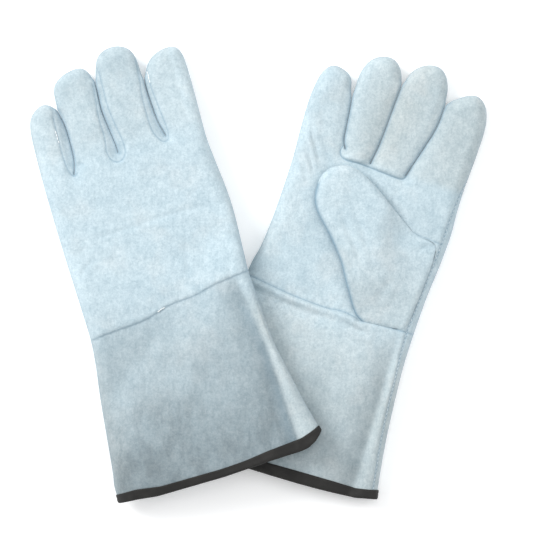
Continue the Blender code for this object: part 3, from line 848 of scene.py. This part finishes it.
def build_thumb(glove, material):
    free, sewn = spline(THUMB_FREE, EDGE_STEP), spline(THUMB_SEWN, EDGE_STEP)
    if not glove.palm_up:
        sewn[:, 0] = np.minimum(sewn[:, 0], 0.35 * sewn[:, 0] + 0.65 * LEFT_SEWN_X)
    loop = np.vstack([free, sewn[1:-1]])
    flat, tris = flat_mesh(loop, [], GRID)
    d_free = distance(flat, free)
    d_sewn = distance(flat, sewn)
    bottom, top = thumb_levels(glove, flat, d_free, d_sewn)
    upper, lower = (top, bottom) if glove.palm_up else (bottom, top)
    shared = (d_free < ON_EDGE) | (d_sewn < ON_EDGE)
    faces, spare = two_layers(tris, shared, len(flat))
    verts = np.vstack([glove.world_thumb(flat, upper), glove.world_thumb(flat[spare], lower[spare])])
    d_left = distance(flat, spline(THUMB_LEFT_EDGE, EDGE_STEP))
    # Painted shade along the thumb's sewn edge, and a painted shadow along its left free edge.
    shade = np.maximum(0.25 * bump(d_sewn, 0.0, 0.7), 1.0 * bump(d_left, 0.0, 1.7))
    normals = vertex_normals(verts, faces)
    if glove.palm_up:
        sewn_edge = np.flatnonzero(d_sewn < ON_EDGE)
        normals[sewn_edge] = vertex_normals(verts, tris)[sewn_edge]
    tan = 0.5 * (1.0 - smoothstep(150.0, 215.0, flat[:, 1]))
    piece = new_piece(f"{glove.name}_thumb_leather", verts, faces, material,
                      {"crevice": both_layers(shade, spare), "tone_and_shade": np.zeros(len(verts)),
                       "tan": both_layers(tan, spare)}, normals)
    along = np.array([math.cos(THUMB_ROOT_ANGLE), math.sin(THUMB_ROOT_ANGLE)])
    out = np.array([-along[1], along[0]])
    middle = np.array(THUMB_HEEL) + along * THUMB_ROOT_LONG / 2.0
    ends = []
    for u in THUMB_BLEND:
        x, y = middle + out * u
        ends.append(glove.world_point(x, y, HAND_THICK))
        ends[-1].z = ends[0].z
    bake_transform(piece)
    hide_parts(*[f"{glove.name}_thumb_{part}" for part in ("base", "front", "back")])


# ---- binding, lining and thread

BINDING_LINES = {
    "left": {"top": ((-86, 1.5), (-70, 1.5), (-50, -1.5), (0, -1.5), (20, -0.5), (40, 2),
                     (60, 3.5), (70, 4.4), (80, 7.5), (88, 10.5)),
             "bottom": ((-86, -6), (-70, -7), (-55, -8.8), (0, -8.5), (20, -7.5), (40, -6.5),
                        (65, -6), (72, -4.8), (80, -1), (85, 3.0), (88, 6.5))},
    "right": {"top": ((-87, 6.5), (-50, 5), (-6, 4.4), (20, 5.5), (50, 6.5), (68, 6.6), (80, 9),
                      (87, 10.8)),
              "bottom": ((-87, -4.5), (-40, -5.5), (0, -5), (20, -4.5), (40, -3.5), (60, -2),
                         (70, -1), (78, 1), (87, 2.8))},
}


def hem_loop(glove, y_of, offset_of, across=72):
    """One row of points round the mouth of the cuff, standing off the leather's surface."""
    turn = np.linspace(0.0, math.pi, across)
    share = (1.0 - np.cos(turn)) / 2.0
    rough = np.interp(share, (0, 1), (-86.0, 87.0))
    y = y_of(rough)
    left, right = glove.side_edges(y)
    x = left + (right - left) * share
    d = np.minimum(x - left, right - x) * 0.985
    flat = np.column_stack([x, y])
    back, palm = glove_faces(glove, flat, d)
    centre = (back + palm) / 2.0
    ring = np.vstack([np.column_stack([flat, palm]),
                      np.column_stack([flat, back])[::-1][1:-1]])
    middle = np.concatenate([centre, centre[::-1][1:-1]])
    step = np.roll(ring, -1, axis=0) - np.roll(ring, 1, axis=0)
    out = np.column_stack([-step[:, 2], step[:, 0]])
    out /= np.maximum(np.linalg.norm(out, axis=1), 1e-9)[:, None]
    if np.sum(out[:, 1] * (ring[:, 2] - middle)) < 0:
        out = -out
    ring[:, 0] += out[:, 0] * offset_of
    ring[:, 2] += out[:, 1] * offset_of
    return ring


def build_binding(glove, material):
    """The tape round the hem: its profile, turned in under the edge, swept round the mouth."""
    top, bottom = (np.array(BINDING_LINES[glove.name][key], float).T for key in ("top", "bottom"))
    # each row of the tape: its share of the way down the band, and how far out it stands
    profile = [(0.0, 0.1), (0.01, 0.75), (0.06, 1.1), (0.2, 1.15), (0.33, 1.0), (0.5, 1.15),
               (0.66, 1.25), (0.8, 1.2), (0.9, 0.95), (0.97, 0.4), (1.0, -0.3), (0.98, -1.0),
               (0.9, -1.7), (0.6, -2.3), (0.2, -2.5), (0.02, -2.4), (0.0, -1.7)]
    rings = []
    for share, offset in profile:
        def level(x, s=share):
            high = np.interp(x, *top)
            return high + (np.interp(x, *bottom) - high) * s
        rings.append(hem_loop(glove, level, offset))
    count = len(rings[0])
    grid = np.vstack(rings)
    verts = glove.world(grid[:, :2], grid[:, 2])
    faces = []
    for row in range(len(rings) - 1):
        for k in range(count):
            a, b = row * count + k, row * count + (k + 1) % count
            faces.append((a, b, b + count, a + count))
    piece = new_piece(f"{glove.name}_binding", verts, faces, material, {})
    girth = np.linalg.norm(np.diff(np.vstack([verts[:count], verts[:1]]), axis=0), axis=1).sum()
    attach(piece, f"{glove.name}_hand")
    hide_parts(f"{glove.name}_hem_binding")
    return piece, girth


LINING_INSET = 2.3
LINING_GRID = 4.0


def build_lining(glove, material):
    """The cotton bag inside the glove, with its fingers as pieces of their own."""
    outer = np.vstack(glove.runs + [glove.hem[1:-1]])
    closed = np.vstack([outer, outer[:1]])
    loop = beside(outer, -LINING_INSET, closed=True)
    loop = loop[inside_outline(loop, outer)]
    loop = loop[distance(loop, closed) > 0.93 * LINING_INSET]
    loop = thin_out([(loop, 1.9)])
    flat, tris = flat_mesh(loop, [], LINING_GRID, rings=(0.8, 2.2))
    d = glove.edge_distance(flat)
    back, palm = glove_faces(glove, flat, d)
    middle, half = (back + palm) / 2.0, (palm - back) / 2.0
    half -= 1.2 + 0.8 * smoothstep(7.0, 16.0, flat[:, 1])
    half = np.maximum(half, 0.3) * dome((d - LINING_INSET) / (SIDE_ROUND - LINING_INSET))
    closed = np.vstack([loop, loop[:1]])
    on_edge = distance(flat, closed) < ON_EDGE
    shared = on_edge & (flat[:, 1] > 6.0)
    upper, lower = middle + half, middle - half
    if not glove.palm_up:
        upper, lower = lower, upper
    faces, spare = two_layers(tris, shared, len(flat))
    verts = np.vstack([glove.world(flat, upper), glove.world(flat[spare], lower[spare])])
    normals = vertex_normals(verts, faces)
    for finger, used, tri, start, end in parts_of_glove(glove, both_layers(flat, spare), faces):
        body = f"{glove.name}_{finger}"
        piece = new_piece(f"{body}_cotton", verts[used], tri, material, {}, normals[used])
        if finger == "hand":
            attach(piece, body)
            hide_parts(f"{glove.name}_hand_lining", f"{glove.name}_cuff_lining",
                        f"{glove.name}_thumb_lining")
            continue
        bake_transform(piece)
        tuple(start)
        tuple(end)
        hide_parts(f"{body}_lining")


def capsule(along, side, up, long, wide, high):
    """Vertices and faces of one stitch: a short rounded bar sunk at both ends."""
    verts, faces = [], []
    rows = ((-0.5, 0.0, -0.5), (-0.42, 0.6, 0.1), (-0.2, 1.0, 0.9), (0.2, 1.0, 0.9),
            (0.42, 0.6, 0.1), (0.5, 0.0, -0.5))
    sides = 6
    for place, size, height in rows:
        for k in range(sides):
            angle = 2 * math.pi * k / sides
            verts.append(along * place * long
                         + side * math.cos(angle) * max(size, 0.15) * wide / 2
                         + up * (math.sin(angle) * max(size, 0.15) * high / 2 + height * high * 0.4))
    for row in range(len(rows) - 1):
        for k in range(sides):
            a, b = row * sides + k, row * sides + (k + 1) % sides
            faces.append((a, b, b + sides, a + sides))
    faces += [tuple(range(sides))[::-1], tuple((len(rows) - 1) * sides + k for k in range(sides))]
    return verts, faces


def build_stitches(glove, name, line, surface, pitch, long, wide, material, body, seed):
    """A row of stitches on the upper face, along a line of the flat frame."""
    rng = random.Random(seed)
    line = spline(line, pitch)
    verts, faces = [], []
    for a, b in zip(line, line[1:]):
        here = (a + b) / 2.0 + np.array([rng.uniform(-0.1, 0.1), rng.uniform(-0.1, 0.1)])
        ahead = here + (b - a) / np.linalg.norm(b - a) * 0.6
        aside = here + np.array([-(b - a)[1], (b - a)[0]]) / np.linalg.norm(b - a) * 0.6
        p, q, r = (Vector(v) for v in surface(np.array([here, ahead, aside])))
        along, side = (q - p).normalized(), (r - p).normalized()
        up = along.cross(side).normalized()
        side = up.cross(along).normalized()
        if up.z < 0:
            up = -up
        bar, rings = capsule(along, side, up, long * MM * rng.uniform(0.92, 1.05), wide * MM,
                             0.55 * MM)
        first = len(verts)
        verts += [p + v for v in bar]
        faces += [tuple(first + k for k in ring) for ring in rings]
    piece = new_piece(name, verts, faces, material, {})
    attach(piece, body)


# ---- materials

class Nodes:
    """Small helper for building a material's node tree."""

    def __init__(self, name):
        self.material = bpy.data.materials.new(name)
        self.material.use_nodes = True
        self.tree = self.material.node_tree
        self.shader = self.tree.nodes["Principled BSDF"]

    def add(self, kind, **settings):
        node = self.tree.nodes.new(kind)
        for key, value in settings.items():
            setattr(node, key, value)
        return node

    def link(self, source, target):
        self.tree.links.new(source, target)

    def set(self, **numbers):
        """Sets the shader's sockets, named as in Blender with _ for a space."""
        for key, number in numbers.items():
            self.shader.inputs[key.replace("_", " ")].default_value = number

    def finish(self, colour, rough, normal):
        for key, source in (("Base Color", colour), ("Roughness", rough), ("Normal", normal)):
            self.link(source, self.shader.inputs[key])
        return self.material

    def share(self, value, amount):
        return self.maths("MULTIPLY", value, amount)

    def times(self, colour, factor):
        return self.mix(1.0, colour, factor, "MULTIPLY")

    def value(self, key):
        return self.add("ShaderNodeAttribute", attribute_name=key).outputs["Fac"]

    def place(self):
        return self.add("ShaderNodeAttribute", attribute_name="rest_place").outputs["Vector"]

    def noise(self, place, size, detail=2.0, rough=0.5, stretch=None):
        """Noise with features of a given size in millimetres."""
        if stretch:
            mapping = self.add("ShaderNodeMapping")
            mapping.inputs["Scale"].default_value = stretch
            self.link(place, mapping.inputs["Vector"])
            place = mapping.outputs["Vector"]
        node = self.add("ShaderNodeTexNoise")
        node.inputs["Scale"].default_value = 1.0 / (size * MM)
        node.inputs["Detail"].default_value = detail
        node.inputs["Roughness"].default_value = rough
        self.link(place, node.inputs["Vector"])
        return node.outputs["Fac"]

    def ramp(self, value, low, high, out_low=0.0, out_high=1.0):
        node = self.add("ShaderNodeMapRange", interpolation_type="SMOOTHSTEP")
        for key, number in (("From Min", low), ("From Max", high), ("To Min", out_low),
                            ("To Max", out_high)):
            node.inputs[key].default_value = number
        self.link(value, node.inputs["Value"])
        return node.outputs["Result"]

    def maths(self, operation, a, b):
        node = self.add("ShaderNodeMath", operation=operation)
        for socket, value in zip(node.inputs, (a, b)):
            if isinstance(value, (int, float)):
                socket.default_value = value
            else:
                self.link(value, socket)
        return node.outputs["Value"]

    def mix(self, share, a, b, blend="MIX"):
        node = self.add("ShaderNodeMix", data_type="RGBA", blend_type=blend)
        for socket, value in ((node.inputs[0], share), (node.inputs[6], a), (node.inputs[7], b)):
            if isinstance(value, (int, float)):
                socket.default_value = value
            elif isinstance(value, tuple):
                socket.default_value = value + (1.0,)
            else:
                self.link(value, socket)
        return node.outputs[2]

    def bump(self, height, distance, strength, normal=None):
        node = self.add("ShaderNodeBump")
        node.inputs["Distance"].default_value = distance * MM
        node.inputs["Strength"].default_value = strength
        self.link(height, node.inputs["Height"])
        if normal is not None:
            self.link(normal, node.inputs["Normal"])
        return node.outputs["Normal"]


def suede(name, tint):
    """Split leather: a short nap, soft mottling at several sizes, and painted shade in folds, seams
    and crevices.
    """
    n = Nodes(name)
    place = n.place()
    # The fourth colour is the darker grey laid on towards the hems and as painted shade in the cuffs'
    # folds; the fifth is the blue-grey of painted shade in crevices and seams.
    light, pale, warm, grey_tone_and_shade, deep = (
        tuple(c * t for c, t in zip(colour, tint))
        for colour in ((0.50, 0.61, 0.665), (0.585, 0.685, 0.73), (0.565, 0.62, 0.64),
                       (0.240, 0.290, 0.315), (0.165, 0.285, 0.375)))
    broad = n.ramp(n.noise(place, 60.0, 2.0), 0.38, 0.64)
    patch = n.ramp(n.noise(place, 13.0, 4.0, 0.6), 0.36, 0.66)
    blush = n.ramp(n.noise(place, 31.0, 3.0, 0.55), 0.48, 0.70)
    fleck = n.noise(place, 4.2, 5.0, 0.8)
    nap = n.noise(place, 1.7, 4.0, 0.8)
    brushed = n.noise(place, 2.2, 3.0, 0.6, stretch=(1.0, 0.28, 1.0))
    colour = n.mix(n.share(broad, 0.45), light, pale)
    colour = n.mix(n.share(patch, 0.42), colour, pale)
    colour = n.mix(n.share(blush, 0.38), colour, warm)
    mottle = n.noise(place, 12.0, 4.0, 0.6, stretch=(1.0, 0.5, 1.0))
    mottle = n.ramp(mottle, 0.30, 0.66, 0.76, 1.0)
    # Darker grey towards the hems, with painted shade in the cuffs' folds and under the cuff seam,
    # and less on the painted highlight beside the fold.
    colour = n.mix(n.share(n.value("tone_and_shade"), mottle), colour, grey_tone_and_shade)
    blotch = n.ramp(n.noise(place, 11.0, 4.0, 0.6), 0.34, 0.70)
    grain = n.maths("ADD", n.share(n.ramp(fleck, 0.34, 0.66), 0.44),
                    n.share(n.ramp(nap, 0.34, 0.66), 0.56))
    grain = n.mix(grain, (1.125, 1.115, 1.105), (0.785, 0.825, 0.845))
    colour = n.times(colour, n.mix(blotch, (1.035, 1.03, 1.025), (0.93, 0.945, 0.95)))
    colour = n.times(colour, grain)
    streaks = n.mix(n.ramp(brushed, 0.42, 0.72), (1.015, 1.012, 1.01), (0.92, 0.935, 0.94))
    colour = n.times(colour, streaks)
    browning = n.share(n.value("tan"), n.ramp(broad, 0.0, 1.0, 1.0, 0.72))
    colour = n.times(colour, n.mix(browning, (1.0, 1.0, 1.0), (0.955, 0.89, 0.84)))
    # Painted shade: blue-grey in crevices, seams, along edges and in the left cuff's fold.
    colour = n.mix(n.share(n.value("crevice"), 0.9), colour, deep)
    n.set(Sheen_Weight=0.22, Sheen_Roughness=0.55, Specular_IOR_Level=0.22)
    pebble = n.bump(n.noise(place, 3.4, 3.0, 0.6), 0.55, 0.45)
    return n.finish(colour, n.ramp(fleck, 0.3, 0.7, 0.80, 0.94), n.bump(nap, 0.22, 0.55, pebble))


def woven_binding():
    """Black cotton tape: a fine rib across it and a little lint."""
    n = Nodes("black_tape")
    place = n.place()
    rib = n.add("ShaderNodeTexWave", wave_type="BANDS", bands_direction="X")
    rib.inputs["Scale"].default_value = 260.0
    rib.inputs["Distortion"].default_value = 1.2
    rib.inputs["Detail Scale"].default_value = 4.0
    n.link(place, rib.inputs["Vector"])
    lint = n.noise(place, 0.9, 3.0, 0.7)
    wear = n.noise(place, 12.0, 2.0)
    colour = n.mix(n.ramp(lint, 0.5, 0.8, 0.0, 0.5), (0.014, 0.0135, 0.0125), (0.052, 0.049, 0.045))
    colour = n.mix(n.ramp(wear, 0.45, 0.7, 0.0, 0.35), colour, (0.038, 0.036, 0.033))
    n.set(Specular_IOR_Level=0.4)
    ribbed = n.bump(rib.outputs["Fac"], 0.12, 0.5)
    return n.finish(colour, n.ramp(lint, 0.3, 0.7, 0.62, 0.82), n.bump(lint, 0.15, 0.4, ribbed))


def cotton():
    """Fleecy natural cotton with a soft nap."""
    n = Nodes("cotton_fleece")
    place = n.place()
    fluff = n.noise(place, 1.1, 4.0, 0.7)
    broad = n.noise(place, 16.0, 2.0)
    colour = n.mix(n.ramp(fluff, 0.4, 0.7), (0.62, 0.60, 0.54), (0.78, 0.76, 0.71))
    colour = n.mix(n.ramp(broad, 0.4, 0.7, 0.0, 0.3), colour, (0.56, 0.54, 0.49))
    n.set(Sheen_Weight=0.3)
    return n.finish(colour, n.ramp(fluff, 0.3, 0.7, 0.86, 0.97), n.bump(fluff, 0.5, 0.6))


def thread(name, dark, light):
    """Twisted sewing thread."""
    n = Nodes(name)
    place = n.place()
    twist = n.noise(place, 0.6, 2.0, 0.6)
    return n.finish(n.mix(n.ramp(twist, 0.35, 0.65), dark, light),
                    n.ramp(twist, 0.3, 0.7, 0.55, 0.75), n.bump(twist, 0.1, 0.5))


# ---- the studio

def build_studio():
    camera = bpy.data.cameras.new("camera")
    camera.sensor_width = 36.0
    distance, width, level = 5.0, 0.4339, 0.018
    camera.lens = 36.0 * (distance - level) / width
    camera.clip_end = 20.0
    eye = bpy.data.objects.new("camera", camera)
    eye.location = (*VIEW_CENTRE, distance)
    bpy.context.scene.collection.objects.link(eye)
    bpy.context.scene.camera = eye

    mesh = bpy.data.meshes.new("floor")
    far = 4.0
    mesh.from_pydata([(-far, -far, 0), (far, -far, 0), (far, far, 0), (-far, far, 0)], [],
                     [(0, 1, 2, 3)])
    n = Nodes("floor_paper")
    n.set(Base_Color=(0.96, 0.96, 0.96, 1.0), Roughness=0.9, Emission_Strength=0.22,
          Emission_Color=(1.0, 1.0, 1.0, 1.0))
    mesh.materials.append(n.material)
    floor = bpy.data.objects.new("floor", mesh)
    floor.location.z = -0.0006
    bpy.context.scene.collection.objects.link(floor)

    world = bpy.data.worlds.new("studio")
    world.use_nodes = True
    sky = world.node_tree.nodes["Background"]
    sky.inputs["Color"].default_value = (0.97, 0.985, 1.0, 1.0)
    sky.inputs["Strength"].default_value = SKY_STRENGTH
    bpy.context.scene.world = world
    bpy.context.scene.view_settings.view_transform = "Standard"
    for name, place, size, power in LAMPS:
        data = bpy.data.lights.new(name, "AREA")
        data.shape = "RECTANGLE"
        data.size, data.size_y = size
        data.energy = power
        lamp = bpy.data.objects.new(name, data)
        lamp.location = place
        lamp.rotation_euler = (-Vector(place)).to_track_quat("-Z", "Y").to_euler()
        bpy.context.scene.collection.objects.link(lamp)


VIEW_CENTRE = np.array((6.4, 7.2)) * MM
SKY_STRENGTH = 0.62
LAMPS = (("key", (-2.4, 1.7, 2.0), (1.8, 1.8), 98.0),
         ("fill", (1.9, 0.3, 1.9), (1.4, 1.4), 10.0),
         ("top", (0.2, 0.5, 2.6), (1.4, 1.4), 12.0))


# ---- the pair

gloves = {name: Glove(name) for name in ("right", "left")}

tape, fleece = woven_binding(), cotton()
pale_thread = thread("pale_thread", (0.55, 0.64, 0.69), (0.74, 0.80, 0.83))
white_thread = thread("white_thread", (0.78, 0.80, 0.80), (0.93, 0.94, 0.93))
leather = {"right": suede("pale_blue_suede", (1.0, 1.0, 1.0)),
           "left": suede("pale_blue_suede_back", (1.0, 1.005, 1.01))}

for name, glove in gloves.items():
    build_leather(glove, leather[name])
    build_thumb(glove, leather[name])
    build_lining(glove, fleece)
    binding, girth = build_binding(glove, tape)
    if name == "right":
        build_stitches(glove, "right_side_stitches", SEAMS["right"]["side_seam"][0],
                       glove.upper_face, 3.4, 2.5, 0.5, pale_thread, "right_hand", 41)
    else:
        for part, (line, body) in LEFT_THREADS.items():
            build_stitches(glove, f"left_{part}", line, glove.upper_face, 2.6, 2.9, 0.9,
                           white_thread, body, 42)

build_studio()
